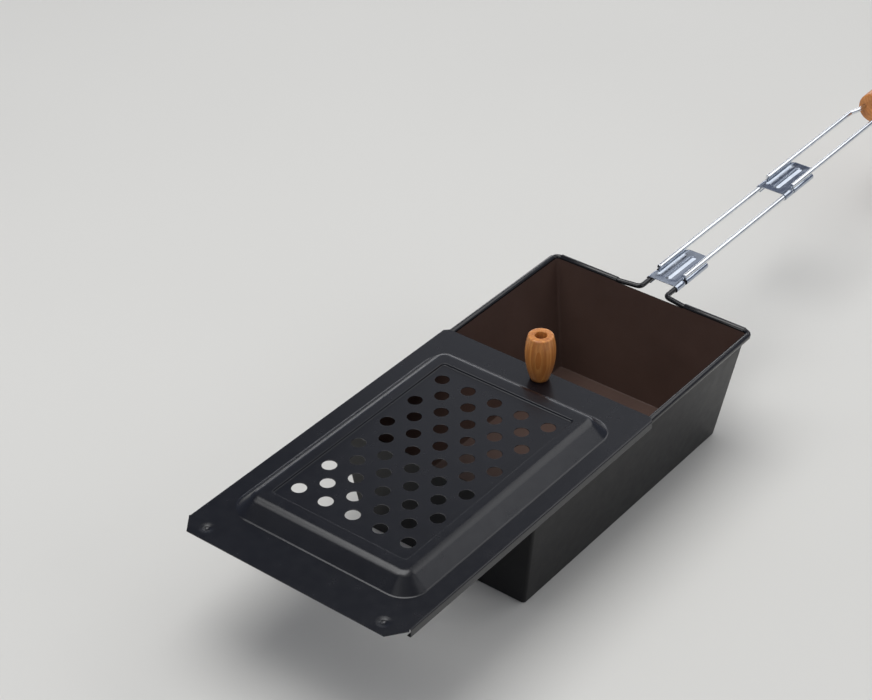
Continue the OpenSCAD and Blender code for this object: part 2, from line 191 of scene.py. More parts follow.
def bendWire(name, route, bends, wireR, tipRound, sides=20, bendStep=9):
    # a ring at the first tip, pushed along the straights and spun round the bends
    route = [Vector(point) for point in route]
    heading = (route[1] - route[0]).normalized()
    here = route[0].copy()
    wire = addStart(bpy.ops.mesh.primitive_circle_add, name, here,
                    turn=heading.to_track_quat("Z", "Y").to_euler(),
                    vertices=sides, radius=wireR, fill_type="NGON")
    openMesh(wire)
    for corner, after, bendR in zip(route[1:], route[2:], bends):
        leaving = (after - corner).normalized()
        turn = heading.angle(leaving)
        straight = corner - heading * bendR * math.tan(turn / 2)
        push(straight - here)
        axis = heading.cross(leaving).normalized()
        centre = straight + axis.cross(heading) * bendR
        steps = max(2, math.ceil(math.degrees(turn) / bendStep))
        bpy.ops.mesh.spin(steps=steps, angle=-turn, center=centre, axis=axis)
        here = corner + leaving * bendR * math.tan(turn / 2)
        heading = leaving
    push(route[-1] - here)
    faceOutwards(route[0])
    # both tips are tumbled round
    tips = (route[0], route[-1])
    pick("EDGE", lambda e: isFold(e, 57)
         and min((middle(e) - tip).length for tip in tips) < 1.1 * wireR)
    bpy.ops.mesh.bevel(offset=tipRound, segments=3, affect="EDGES")
    closeMesh()
    return wire


# Finishes

def hexColour(code):
    # sRGB hex to the linear colour that the shader reads
    channels = [int(code[i:i + 2], 16) / 255 for i in (1, 3, 5)]
    linear = [c / 12.92 if c <= 0.04045 else ((c + 0.055) / 1.055) ** 2.4 for c in channels]
    return (*linear, 1)


def addNode(tree, kind, inputs=None, **settings):
    # one node with its settings; an input is a value or the output it is linked to
    node = tree.nodes.new("ShaderNode" + kind)
    for key, value in settings.items():
        setattr(node, key, value)
    for socket, value in (inputs or {}).items():
        if isinstance(value, bpy.types.NodeSocket):
            tree.links.new(value, node.inputs[socket])
        else:
            node.inputs[socket].default_value = value
    return node


def startFinish(name):
    finish = bpy.data.materials.new(name)
    finish.use_nodes = True
    tree = finish.node_tree
    tree.nodes.clear()
    return finish, tree, addNode(tree, "TexCoord").outputs["Object"]


def endFinish(tree, inputs):
    shader = addNode(tree, "BsdfPrincipled", inputs)
    addNode(tree, "OutputMaterial", {"Surface": shader.outputs["BSDF"]})


# widths of the coat's patterns and the peel's depth, in metres
coat = dict(cloud=0.028, blotch=0.006, peel=0.0009, peelDepth=0.00004)


def nonStickCoat(name, dark, light, gloss, peel, ior=1.5):
    # sprayed and baked non-stick coat on steel: satin, with slow clouds of tone,
    # duller blotches and a fine orange peel
    finish, tree, place = startFinish(name)
    clouds = addNode(tree, "TexNoise", {"Vector": place, "Scale": 1 / coat["cloud"], "Detail": 3})
    tone = addNode(tree, "Mix", {0: clouds.outputs["Fac"], 6: hexColour(dark), 7: hexColour(light)},
                   data_type="RGBA")
    blotches = addNode(tree, "TexNoise", {"Vector": place, "Scale": 1 / coat["blotch"],
                                          "Detail": 4})
    rough = addNode(tree, "MapRange", {"Value": blotches.outputs["Fac"], "From Min": 0.3,
                                       "From Max": 0.7, "To Min": gloss[0], "To Max": gloss[1]})
    # the real peel is about 0.4 mm wide; 0.9 mm is the finest that still shows
    bumps = addNode(tree, "TexNoise", {"Vector": place, "Scale": 1 / coat["peel"], "Detail": 2})
    skin = addNode(tree, "Bump", {"Strength": peel, "Distance": coat["peelDepth"],
                                  "Height": bumps.outputs["Fac"]})
    endFinish(tree, {"Base Color": tone.outputs[2], "Roughness": rough.outputs["Result"],
                     "IOR": ior, "Normal": skin.outputs["Normal"]})
    return finish


# spacing, length and depth of the drawn lines, in metres
drawnLines = dict(gap=0.00025, run=0.015, depth=0.00001)


def zincPlate(name, dark, light, gloss, drawn, cell):
    # bright zinc plate on steel: a cool mirror, a little clouded, with fine drawn lines
    finish, tree, place = startFinish(name)
    clouds = addNode(tree, "TexNoise", {"Vector": place, "Scale": 1 / cell, "Detail": 3})
    tone = addNode(tree, "Mix", {0: clouds.outputs["Fac"], 6: hexColour(dark), 7: hexColour(light)},
                   data_type="RGBA")
    # the lines run along the handle
    across = 1 / drawnLines["gap"]
    lines = addNode(tree, "Mapping", {"Vector": place,
                                      "Scale": (1 / drawnLines["run"], across, across)})
    streaks = addNode(tree, "TexNoise", {"Vector": lines.outputs["Vector"], "Scale": 1,
                                         "Detail": 2})
    rough = addNode(tree, "MapRange", {"Value": clouds.outputs["Fac"], "From Min": 0.3,
                                       "From Max": 0.7, "To Min": gloss[0], "To Max": gloss[1]})
    skin = addNode(tree, "Bump", {"Strength": drawn, "Distance": drawnLines["depth"],
                                  "Height": streaks.outputs["Fac"]})
    endFinish(tree, {"Base Color": tone.outputs[2], "Metallic": 1,
                     "Roughness": rough.outputs["Result"], "Normal": skin.outputs["Normal"]})
    return finish


# ring spacing, the heart's place beside the axis, and widths and lengths along the grain, in metres
wood = dict(ring=0.0022, heart=(0.011, 0.006, 0), pore=(0.0005, 0.012), poreDepth=0.00005,
            streak=(0.004, 0.05))


def turnedWood(name, dark, mid, light, centre, turn, lacquer):
    # turned hardwood under clear lacquer: growth rings round the heart, long pores along the grain
    finish, tree, place = startFinish(name)
    grain = addNode(tree, "Mapping", {"Vector": place, "Location": centre, "Rotation": turn},
                    vector_type="TEXTURE")
    # the heart lies outside the piece; a ring of the wave texture is 2 pi / 20 wide at scale 1
    ringed = addNode(tree, "Mapping", {"Vector": grain.outputs["Vector"],
                                       "Location": wood["heart"], "Scale": (1, 1, 0.12)})
    rings = addNode(tree, "TexWave", {"Vector": ringed.outputs["Vector"],
                                      "Scale": 1 / wood["ring"] / 20 * 6.283,
                                      "Distortion": 3.5, "Detail": 2, "Detail Scale": 1.4},
                    wave_type="RINGS", rings_direction="Z", wave_profile="SAW")
    poreW, poreL = wood["pore"]
    stretched = addNode(tree, "Mapping", {"Vector": grain.outputs["Vector"],
                                          "Scale": (1 / poreW, 1 / poreW, 1 / poreL)})
    pores = addNode(tree, "TexNoise", {"Vector": stretched.outputs["Vector"], "Scale": 1,
                                       "Detail": 3, "Roughness": 0.6})
    streakW, streakL = wood["streak"]
    broad = addNode(tree, "Mapping", {"Vector": grain.outputs["Vector"],
                                      "Scale": (1 / streakW, 1 / streakW, 1 / streakL)})
    streaks = addNode(tree, "TexNoise", {"Vector": broad.outputs["Vector"], "Scale": 1,
                                         "Detail": 2})
    ground = addNode(tree, "Mix", {0: rings.outputs["Fac"], 6: hexColour(light),
                                   7: hexColour(mid)}, data_type="RGBA")
    depth = addNode(tree, "MapRange", {"Value": streaks.outputs["Fac"], "From Min": 0.35,
                                       "From Max": 0.75, "To Min": 0, "To Max": 0.75})
    streaked = addNode(tree, "Mix", {0: depth.outputs["Result"], 6: ground.outputs[2],
                                     7: hexColour(dark)}, data_type="RGBA")
    poreMask = addNode(tree, "MapRange", {"Value": pores.outputs["Fac"], "From Min": 0.56,
                                          "From Max": 0.72, "To Min": 0, "To Max": 0.65})
    pored = addNode(tree, "Mix", {0: poreMask.outputs["Result"], 6: streaked.outputs[2],
                                  7: hexColour(dark)}, data_type="RGBA")
    rough = addNode(tree, "MapRange", {"Value": pores.outputs["Fac"], "To Min": 0.34,
                                       "To Max": 0.5})
    skin = addNode(tree, "Bump", {"Strength": 0.25, "Distance": wood["poreDepth"],
                                  "Height": pores.outputs["Fac"]}, invert=True)
    endFinish(tree, {"Base Color": pored.outputs[2], "Roughness": rough.outputs["Result"],
                     "Normal": skin.outputs["Normal"], "Coat Weight": lacquer,
                     "Coat Roughness": 0.18})
    return finish


panCoat = nonStickCoat("satinNonStickOutside", "#111113", "#151517", (0.35, 0.40), 0.14, 1.25)
rimCoat = nonStickCoat("burnishedNonStickRim", "#0f0f11", "#161618", (0.18, 0.26), 0.10)
insideCoat = nonStickCoat("bakedNonStickInside", "#46342d", "#56423a", (0.46, 0.60), 0.30, 1.38)
lidCoat = nonStickCoat("satinNonStickLid", "#0d0e14", "#11131a", (0.235, 0.275), 0.09)
wireZinc = zincPlate("drawnZincWire", "#d3d8de", "#eef0f2", (0.12, 0.22), 0.20, 0.009)
clipZinc = zincPlate("pressedZincSheet", "#9aa3b2", "#c9d0d9", (0.10, 0.20), 0.10, 0.007)
screwZinc = zincPlate("zincScrewSteel", "#8a8d92", "#b4b6b8", (0.25, 0.40), 0.20, 0.002)
knobWood = turnedWood("turnedLacqueredKnob", "#96501f", "#c67934", "#dc9850",
                      (-0.0073, 0, 0), (0, 0, 0), 0.30)
gripWood = turnedWood("turnedLacqueredGrip", "#9a5220", "#c67a36", "#d89450",
                      (0, 0, 0.0788), (0, math.pi / 2, 0), 0.30)
print("finishes made")


# Lid: one pressed sheet with a domed field, side runners, vent holes and two stop dimples

lid = dict(
    back=0.0, front=-0.2241, half=0.0714, top=0.07418, sheet=0.0004,
    frontCut=(0.010, 0.0075), backCut=(0.003, 0.003),
    domeMid=-0.10955, domeSize=(0.1801, 0.1204), domeCorner=0.0142, cornerSteps=12, brim=0.0015,
    shoulder=0.012, rise=0.0084, crestR=0.007, crestSteps=8, footRound=0.0006,
    ridgeSide=0.0043, ridgeEnd=0.006, recess=0.0012, draft=0.0003, recessRound=0.00042,
    runner=(-0.2125, -0.003), runnerBottom=0.06882, lip=0.0026, foldRound=0.0009,
    holeR=0.0041, holePitch=(0.024, 0.0178), holeRows=(6, 5), holeRound=0.0002, holeSides=32,
    screwAt=-0.0073, screwR=0.0016, screwSides=24, drillL=0.004,
    stripBack=-0.2085, dimple=(-0.2161, 0.0574), dimpleSquare=0.0052,
    dimpleR=0.0026, dimpleDepth=0.0012, dimpleSides=32,
    # the bowl's mouth by height over the flange and radius
    dimpleMouth=((-0.00034, 0.00205), (-0.00027, 0.0024), (-0.0002, 0.0029), (-0.00012, 0.0034),
                 (-0.00006, 0.0039), (-0.00003, 0.0042), (0, 0.0046)),
)
lidTop, ridgeTop = lid["top"], lid["top"] + lid["rise"]
panelTop = ridgeTop - lid["recess"]

# the dome starts as its foot's outline, with a narrow brim round it
grow = 2 * lid["brim"]
lidShell = addStart(bpy.ops.mesh.primitive_plane_add, "lidShell", (lid["domeMid"], 0, lidTop),
                    (lid["domeSize"][0] + grow, lid["domeSize"][1] + grow, 1), size=1)
openMesh(lidShell)
bpy.ops.mesh.bevel(offset=lid["domeCorner"] + lid["brim"], segments=lid["cornerSteps"],
                   affect="VERTICES")
bpy.ops.mesh.select_all(action="SELECT")
bpy.ops.mesh.inset(thickness=lid["brim"])

# the shoulder is a plain slope up to a rounded crest that ends level on the ridge
crestZ = lid["rise"] - lid["crestR"]
toCrest = math.hypot(crestZ, lid["shoulder"])
slope = math.atan2(crestZ, lid["shoulder"]) + math.asin(lid["crestR"] / toCrest)
reach = height = 0
for step in range(lid["crestSteps"] + 1):
    lean = slope * (1 - step / lid["crestSteps"])
    newReach = lid["shoulder"] - lid["crestR"] * math.sin(lean)
    newHeight = crestZ + lid["crestR"] * math.cos(lean)
    bpy.ops.mesh.inset(thickness=newReach - reach, depth=newHeight - height)
    reach, height = newReach, newHeight

# the ridge is wider at the ends than at the sides; then the panel steps down
ridgeHalf, ridgeHalfY = (size / 2 - lid["shoulder"] for size in lid["domeSize"])
push((0, 0, 0))
bpy.ops.transform.resize(
    value=(1 - lid["ridgeEnd"] / ridgeHalf, 1 - lid["ridgeSide"] / ridgeHalfY, 1),
    center_override=(lid["domeMid"], 0, ridgeTop))
bpy.ops.mesh.inset(thickness=lid["draft"], depth=-lid["recess"])
recessHalf = ridgeHalf - lid["ridgeEnd"] + near
pick("EDGE", lambda e: all(v.co.z > panelTop - near and abs(v.co.x - lid["domeMid"]) < recessHalf
                           for v in e.verts) and abs(e.verts[0].co.z - e.verts[1].co.z) < near)
bpy.ops.mesh.bevel(offset=lid["recessRound"], segments=3, affect="EDGES")
pick("EDGE", lambda e: isFold(e, 40) and all(abs(v.co.z - lidTop) < near for v in e.verts))
bpy.ops.mesh.bevel(offset=lid["footRound"], segments=4, affect="EDGES")
closeMesh()

# the flange is a second outline with cut corners, filled up to the brim
lidFlange = addStart(bpy.ops.mesh.primitive_plane_add, "lidFlange",
                     ((lid["front"] + lid["back"]) / 2, 0, lidTop),
                     (lid["back"] - lid["front"], 2 * lid["half"], 1), size=1)
openMesh(lidFlange)
for endX, inwards, cut in ((lid["front"], 1, lid["frontCut"]), (lid["back"], -1, lid["backCut"])):
    for side in (-1, 1):
        sliceMesh((endX + inwards * cut[0], side * lid["half"], lidTop),
                  (-inwards * cut[1], side * cut[0], 0), clear_outer=True)
bpy.ops.mesh.select_all(action="SELECT")
bpy.ops.mesh.delete(type="ONLY_FACE")
closeMesh()
lidShell = joinPieces("lidShell", [lidShell, lidFlange])
openMesh(lidShell)
pick("EDGE", lambda e: len(e.link_faces) < 2)
bpy.ops.mesh.fill(use_beauty=True)

# the flange's front is one face again, and a square is taken out of it for each stop dimple
runnerFront, runnerBack = lid["runner"]
pitX, pitY = lid["dimple"]
square = lid["dimpleSquare"]


def inFront(f):
    return all(v.co.x < lid["stripBack"] + near for v in f.verts)


def toDimple(place):
    return math.hypot(place.x - pitX, abs(place.y) - pitY)


sliceMesh((runnerFront, 0, 0), (1, 0, 0))
sliceMesh((lid["stripBack"], 0, 0), (1, 0, 0))
pick("FACE", inFront)
bpy.ops.mesh.dissolve_faces()
for offset in (-square, square):
    pick("FACE", inFront)
    bpy.ops.mesh.bisect(plane_co=(pitX + offset, 0, 0), plane_no=(1, 0, 0), threshold=near)
    for side in (-1, 1):
        pick("FACE", inFront)
        bpy.ops.mesh.bisect(plane_co=(0, side * (pitY + offset), 0), plane_no=(0, 1, 0),
                            threshold=near)
pick("FACE", lambda f: toDimple(middle(f)) < near)
bpy.ops.mesh.delete(type="ONLY_FACE")
closeMesh()

# each dimple is a turned bowl set into its square
bowlRise = lid["dimpleR"] - lid["dimpleDepth"]
stations = []
for turn in range(5, 50, 5):      # degrees round the bowl, from near its pole
    lean = math.radians(turn)
    stations.append((bowlRise - lid["dimpleR"] * math.cos(lean), lid["dimpleR"] * math.sin(lean)))
stations += lid["dimpleMouth"]
bowl = turnOnLathe("bowl", (pitX, pitY, lidTop), (0, 0, 1), stations, lid["dimpleSides"])
openMesh(bowl)
pick("FACE", lambda f: middle(f).z > lidTop - near)
bpy.ops.mesh.delete(type="ONLY_FACE")
closeMesh()
take(bowl)
bpy.ops.object.duplicate()
otherBowl = bpy.context.object
otherBowl.location = (0, -2 * pitY, 0)
bpy.ops.object.transform_apply(location=True, rotation=True, scale=True)
lidShell = joinPieces("lidShell", [lidShell, bowl, otherBowl])
openMesh(lidShell)
for side in (-1, 1):
    pick("EDGE", lambda e: len(e.link_faces) < 2 and middle(e).y * side > 0
         and toDimple(middle(e)) < 2 * square)
    bpy.ops.mesh.fill(use_beauty=True)
faceOutwards((lid["domeMid"], 0, -1))

# the long edges fold down and in, to run under the pan's rim;
# a plain strip beside each keeps the flange flat
stripY = lid["half"] - 2 * lid["foldRound"]


def onRunner(v):
    return runnerFront - near < v.co.x < runnerBack + near


def onSide(v, side):
    return onRunner(v) and abs(v.co.y - side * lid["half"]) < near


sliceMesh((runnerBack, 0, 0), (1, 0, 0))
for side in (-1, 1):
    sliceMesh((0, side * stripY, 0), (0, 1, 0))
    pick("FACE", lambda f: all(onRunner(v) and v.co.y * side > stripY - near for v in f.verts))
    bpy.ops.mesh.dissolve_faces()
    pick("EDGE", lambda e: all(onSide(v, side) for v in e.verts))
    push((0, 0, lid["runnerBottom"] - lidTop))
    push((0, -side * lid["lip"], 0))
    pick("EDGE", lambda e: all(onSide(v, side) for v in e.verts)
         and abs(e.verts[0].co.x - e.verts[1].co.x) > near)
    bpy.ops.mesh.bevel(offset=lid["foldRound"], segments=4, affect="EDGES")
faceOutwards((lid["domeMid"], 0, -1))
closeMesh()
lidShell.data.materials.append(lidCoat)
applyModifier(lidShell, "SOLIDIFY", thickness=lid["sheet"], offset=-1, use_even_offset=True)

# vent holes: six rows of five, and five rows of four between them
holes = []
for rows in (0, 1):
    countX, countY = lid["holeRows"][0] - rows, lid["holeRows"][1] - rows
    for i in range(countX):
        for j in range(countY):
            holes.append((lid["domeMid"] + (i - (countX - 1) / 2) * lid["holePitch"][0],
                          (j - (countY - 1) / 2) * lid["holePitch"][1]))
drills = [addStart(bpy.ops.mesh.primitive_cylinder_add, "drill", (x, y, panelTop),
                   vertices=lid["holeSides"], radius=lid["holeR"], depth=lid["drillL"])
          for x, y in holes]
drills.append(addStart(bpy.ops.mesh.primitive_cylinder_add, "drill", (lid["screwAt"], 0, lidTop),
                       vertices=lid["screwSides"], radius=lid["screwR"], depth=lid["drillL"]))
cutWith(lidShell, joinPieces("drills", drills))

# the punched edges are a little rolled over
openMesh(lidShell)


def onHole(v):
    return abs(v.co.z - panelTop) < near and any(
        abs(math.hypot(v.co.x - x, v.co.y - y) - lid["holeR"]) < 2 * near for x, y in holes)


pick("EDGE", lambda e: isFold(e, 46) and all(map(onHole, e.verts)))
bpy.ops.mesh.bevel(offset=lid["holeRound"], segments=2, affect="EDGES")
closeMesh()
smoothFaces(lidShell)
applyModifier(lidShell, "WEIGHTED_NORMAL", keep_sharp=True)
dress(lidShell, lidCoat, "lid", "lid_coating", "lid_panel")
print("lid pressed:", len(lidShell.data.polygons), "faces,", openEdges(lidShell), "open edges")


# Knob: turned, with a counterbore for its screw

knob = dict(axis=(-0.0073, 0, 0.07418), height=0.029, bellyZ=0.018, bellyR=0.00865, footR=0.005,
            topR=0.007, edge=0.001, edgeTurns=(25, 50, 70, 90), footEdge=0.0004, boreR=0.0034,
            boreMouth=0.0004, boreDepth=0.009, screwR=0.0016, rings=14, sides=64)


def knobRadius(z):
    belly = knob["bellyZ"]
    endR, span = (knob["footR"], belly) if z < belly else (knob["topR"], knob["height"] - belly)
    return knob["bellyR"] - (knob["bellyR"] - endR) * ((z - belly) / span) ** 2


sideTop = knob["height"] - knob["edge"]
stations = [(0, knob["screwR"]), (0, knob["footR"] - knob["footEdge"])]
for ring in range(knob["rings"] + 1):
    z = knob["footEdge"] + (sideTop - knob["footEdge"]) * ring / knob["rings"]
    stations.append((z, knobRadius(z)))
flatR = knobRadius(sideTop) - knob["edge"]
for turn in knob["edgeTurns"]:      # rounded top edge
    lean = math.radians(turn)
    stations.append((sideTop + knob["edge"] * math.sin(lean),
                     flatR + knob["edge"] * math.cos(lean)))
stations += [(knob["height"], knob["boreR"] + knob["boreMouth"]),
             (knob["height"] - knob["boreMouth"], knob["boreR"]),
             (knob["height"] - knob["boreDepth"], knob["boreR"]),
             (knob["height"] - knob["boreDepth"], knob["screwR"])]
woodKnob = turnOnLathe("woodKnob", knob["axis"], (0, 0, 1), stations, knob["sides"])
openMesh(woodKnob)
pick("FACE", lambda f: len(f.verts) > 4)      # the screw's hole goes right through
bpy.ops.mesh.bridge_edge_loops()
closeMesh()
smoothFaces(woodKnob)
dress(woodKnob, knobWood, "lid", "knob_wood", "lid_knob")
for node in ("knob_screw", "knob_washer", "knob_nut"):
    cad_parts[node].data.materials.clear()
    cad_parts[node].data.materials.append(screwZinc)
print("knob turned")


# Pan: a drawn sheet box whose top edge is rolled round the rim wire

pan = dict(
    baseHalf=(0.096, 0.0555), topHalf=(0.10394, 0.06644), wallTop=0.0715, corner=0.0024,
    bottomRound=0.0009, sheet=0.0004, notchHalf=0.0235, notchBottom=0.07125, notchBlock=0.02,
    wireHalf=(0.10552, 0.06802), wireR=0.00155, rimCorner=0.004,
    hemR=0.00198, hemSides=45, hemEdge=0.00008, slit=(203, 229),
    prongY=0.0088, prongBend=0.003, bow=0.0024, bowBend=0.012, bowFrom=0.0222,
    prongTip=0.1495, tipRound=0.0004,
)
# the mouth's outline is pushed down and drawn in to the bottom, which leaves the mouth open
panShell = addStart(bpy.ops.mesh.primitive_plane_add, "panShell", (0, 0, pan["wallTop"]),
                    (2 * pan["topHalf"][0], 2 * pan["topHalf"][1], 1), size=1)
openMesh(panShell)
bpy.ops.mesh.bevel(offset=pan["corner"], segments=6, affect="VERTICES")
bpy.ops.mesh.select_all(action="SELECT")
push((0, 0, -pan["wallTop"]))
bpy.ops.transform.resize(value=(pan["baseHalf"][0] / pan["topHalf"][0],
                                pan["baseHalf"][1] / pan["topHalf"][1], 1),
                         center_override=(0, 0, 0))
pick("FACE", lambda f: middle(f).z > pan["wallTop"] - near)
bpy.ops.mesh.delete(type="ONLY_FACE")
faceOutwards((0, 0, pan["wallTop"] / 2))
pick("EDGE", lambda e: all(abs(v.co.z) < near for v in e.verts))
bpy.ops.mesh.bevel(offset=pan["bottomRound"], segments=3, affect="EDGES")
closeMesh()
panShell.data.materials.append(panCoat)
panShell.data.materials.append(insideCoat)
applyModifier(panShell, "SOLIDIFY", thickness=pan["sheet"], offset=-1, use_even_offset=True,
              material_offset=1)
notch = addStart(bpy.ops.mesh.primitive_cube_add, "notch",
                 (pan["topHalf"][0], 0, pan["notchBottom"] + pan["notchBlock"] / 2),
                 (pan["notchBlock"], 2 * pan["notchHalf"], pan["notchBlock"]), size=1)
cutWith(panShell, notch)


def rollHem(start, end, out):
    # an open ring of sheet, drawn out along the wire from start to end
    start, end, out = Vector(start), Vector(end), Vector(out)
    hem = addStart(bpy.ops.mesh.primitive_circle_add, "hem", start,
                   turn=(end - start).to_track_quat("Z", "Y").to_euler(),
                   vertices=pan["hemSides"], radius=pan["hemR"])
    openMesh(hem)

    def inSlit(v):
        offset = v.co - start
        turn = math.degrees(math.atan2(offset.z, offset.dot(out))) % 360
        return pan["slit"][0] < turn < pan["slit"][1]

    pick("VERT", inSlit)
    bpy.ops.mesh.delete(type="VERT")
    bpy.ops.mesh.select_all(action="SELECT")
    push(end - start)
    faceOutwards((start + end) / 2)
    closeMesh()
    applyModifier(hem, "SOLIDIFY", thickness=pan["sheet"], offset=-1, use_even_offset=True)
    applyModifier(hem, "BEVEL", width=pan["hemEdge"], segments=2, limit_method="ANGLE",
                  angle_limit=math.radians(50))
    return hem


wireX, wireY = pan["wireHalf"]
runX, runY = wireX - pan["rimCorner"], wireY - pan["rimCorner"]
rimZ = pan["wallTop"]
hems = [rollHem((-runX, wireY, rimZ), (runX, wireY, rimZ), (0, 1, 0)),
        rollHem((-runX, -wireY, rimZ), (runX, -wireY, rimZ), (0, -1, 0)),
        rollHem((-wireX, -runY, rimZ), (-wireX, runY, rimZ), (-1, 0, 0)),
        rollHem((wireX, pan["notchHalf"], rimZ), (wireX, runY, rimZ), (1, 0, 0)),
        rollHem((wireX, -runY, rimZ), (wireX, -pan["notchHalf"], rimZ), (1, 0, 0))]
for hem in hems:
    hem.data.materials.append(rimCoat)
panShell = joinPieces("panShell", [panShell, *hems])
smoothFaces(panShell)
dress(panShell, None, "pan", "black_coating", "pan_body")

# between the hem's ends the wire bows out a little before it turns into the prongs
halfRoute = [(pan["prongTip"], pan["prongY"]), (wireX + pan["bow"], pan["prongY"]),
             (wireX, pan["bowFrom"]), (wireX, wireY), (-wireX, wireY)]
halfBends = [pan["prongBend"], pan["bowBend"], pan["rimCorner"], pan["rimCorner"]]
rimRoute = [(x, y, rimZ) for x, y in halfRoute] + [(x, -y, rimZ) for x, y in reversed(halfRoute)]
rimWire = bendWire("rimWire", rimRoute, halfBends + halfBends[::-1], pan["wireR"], pan["tipRound"])
smoothFaces(rimWire)
dress(rimWire, rimCoat, "pan", "black_coating", "rim_wire")
print("pan and rim wire made")


# Handle: two wire sections, each with its own pressed clip, and the wooden grip

handle = dict(
    wireR=0.00155, legY=0.0088, tipRound=0.0004,
    extensionZ=0.07515, extensionTip=0.1275, extensionEnd=0.27345, extensionBend=0.004,
    gripZ=0.0788, gripTip=0.253, kink=(0.3595, 0.3685), kinkBend=0.006, gripLegY=0.0059,
    gripEnd=0.46665, gripBend=0.0035,
)
legY, innerY = handle["legY"], handle["gripLegY"]
z = handle["extensionZ"]
extensionWire = bendWire(
    "extensionWire",
    [(handle["extensionTip"], legY, z), (handle["extensionEnd"], legY, z),
     (handle["extensionEnd"], -legY, z), (handle["extensionTip"], -legY, z)],
    [handle["extensionBend"]] * 2, handle["wireR"], handle["tipRound"])
smoothFaces(extensionWire)
dress(extensionWire, wireZinc, "extension", "zinc_plate", "extension_wire")

z = handle["gripZ"]
kinkOut, kinkIn = handle["kink"]
gripWire = bendWire(
    "gripWire",
    [(handle["gripTip"], legY, z), (kinkOut, legY, z), (kinkIn, innerY, z),
     (handle["gripEnd"], innerY, z), (handle["gripEnd"], -innerY, z),
     (kinkIn, -innerY, z), (kinkOut, -legY, z), (handle["gripTip"], -legY, z)],
    [handle["kinkBend"]] * 2 + [handle["gripBend"]] * 2 + [handle["kinkBend"]] * 2,
    handle["wireR"], handle["tipRound"], bendStep=6)
smoothFaces(gripWire)
dress(gripWire, wireZinc, "grip", "zinc_plate", "grip_wire")

clip = dict(
    front=0.1175, level=0.0715, length=0.040, half=0.0088, sheet=0.0006, web=0.0016,
    curlR=0.0022, curlSteps=12, curls=((0, 0.0085), (0.0107, 0.034)),
    lip=0.0012, lipCut=(0.024, 0.0254),
    rearCorner=0.004, edgeRound=0.00026,
    # depth of the dish by the distance from the web's middle, and where it runs out at the ends
    dish=((0, 0.00042), (0.0029, 0.00042), (0.004, 0.00035), (0.0054, 0.0002), (0.0066, 0.00003),
          (0.0073, -0.0001), (0.008, -0.00006), (0.0088, 0)),
    dishAlong=(0.0005, 0.0062, 0.0327, 0.0392),
    # rise of the rib by the distance from its line, the line's ends and its rear end's width
    rib=((0, 0.00056), (0.0003, 0.00055), (0.0008, 0.00045), (0.0013, 0.0003), (0.0018, 0.00013),
         (0.0022, 0.00003), (0.0025, 0)),
    ribAlong=(0.0065, 0.0327), blob=1.1,
    nextFront=0.243, nextLevel=0.07515,
)
webTop = clip["level"] + clip["curlR"]
extensionClip = addStart(bpy.ops.mesh.primitive_plane_add, "extensionClip",
                         (clip["front"] + clip["length"] / 2, 0, webTop),
                         (clip["length"], 2 * clip["half"], 1), size=1)
openMesh(extensionClip)
pick("VERT", lambda v: v.co.x > clip["front"] + clip["length"] / 2)
bpy.ops.mesh.bevel(offset=clip["rearCorner"], segments=6, affect="VERTICES")
ribFront, ribRear = clip["ribAlong"]
alongX = {x for span in (*clip["curls"], clip["lipCut"], clip["dishAlong"]) for x in span}
for reach, rise in clip["rib"]:
    alongX |= {ribFront - reach, ribRear + reach}
blobR = clip["blob"] * clip["rib"][-1][0]
alongX = sorted({round(x, 6) for x in alongX | {ribRear + blobR}})
acrossY = sorted({reach for reach, value in (*clip["rib"], *clip["dish"][:-1])} | {blobR})
for x in alongX[1:]:
    sliceMesh((clip["front"] + x, 0, 0), (1, 0, 0))
for y in sorted({side * y for y in acrossY for side in (-1, 1)}):
    sliceMesh((0, y, 0), (0, 1, 0))


def readLine(rows, place):
    # the value at a place on a bent line through (place, value) rows
    for (start, first), (end, last) in zip(rows, rows[1:]):
        if place <= end:
            return first + (last - first) * (place - start) / (end - start)
    return rows[-1][1]


def ramp(x, stops):
    # 0 outside the stops, 1 between the two inner ones
    rising = (x - stops[0]) / (stops[1] - stops[0])
    falling = (stops[-1] - x) / (stops[-1] - stops[-2])
    return max(0, min(1, rising, falling))


# each crossing of the web's lines is moved: the field down into a dish, the rib up out of it
for y in acrossY:
    for x in alongX:
        fromLine = math.hypot(y, max(0, ribFront - x, x - ribRear))
        fromRear = math.hypot(y, x - ribRear) / clip["blob"]
        rise = max(readLine(clip["rib"], fromLine), readLine(clip["rib"], fromRear))
        pick("VERT", lambda v: abs(abs(v.co.y) - y) < near
             and abs(v.co.x - clip["front"] - x) < near)
        shift((0, 0, rise - readLine(clip["dish"], y) * ramp(x, clip["dishAlong"])))

# the side edges curl round the wires that the clip takes
for side in (-1, 1):
    pick("EDGE", lambda e: all(abs(v.co.y - side * clip["half"]) < near for v in e.verts) and any(
        start - near < middle(e).x - clip["front"] < end + near for start, end in clip["curls"]))
    bpy.ops.mesh.spin(steps=clip["curlSteps"], angle=side * math.pi,
                      center=(0, side * clip["half"], clip["level"]), axis=(1, 0, 0))
    pick("EDGE", lambda e: all(abs(v.co.z - clip["level"] + clip["curlR"]) < near for v in e.verts)
         and abs(middle(e).y - side * clip["half"]) < near
         and not clip["lipCut"][0] < middle(e).x - clip["front"] < clip["lipCut"][1])
    push((0, -side * clip["lip"], 0))
pick("FACE", lambda f: clip["lipCut"][0] < middle(f).x - clip["front"] < clip["lipCut"][1]
     and middle(f).z < clip["level"] - clip["web"])
bpy.ops.mesh.delete(type="FACE")
faceOutwards((clip["front"] + clip["length"] / 2, 0, clip["level"]))
closeMesh()
applyModifier(extensionClip, "SOLIDIFY", thickness=clip["sheet"], offset=-1,
              use_even_offset=True)
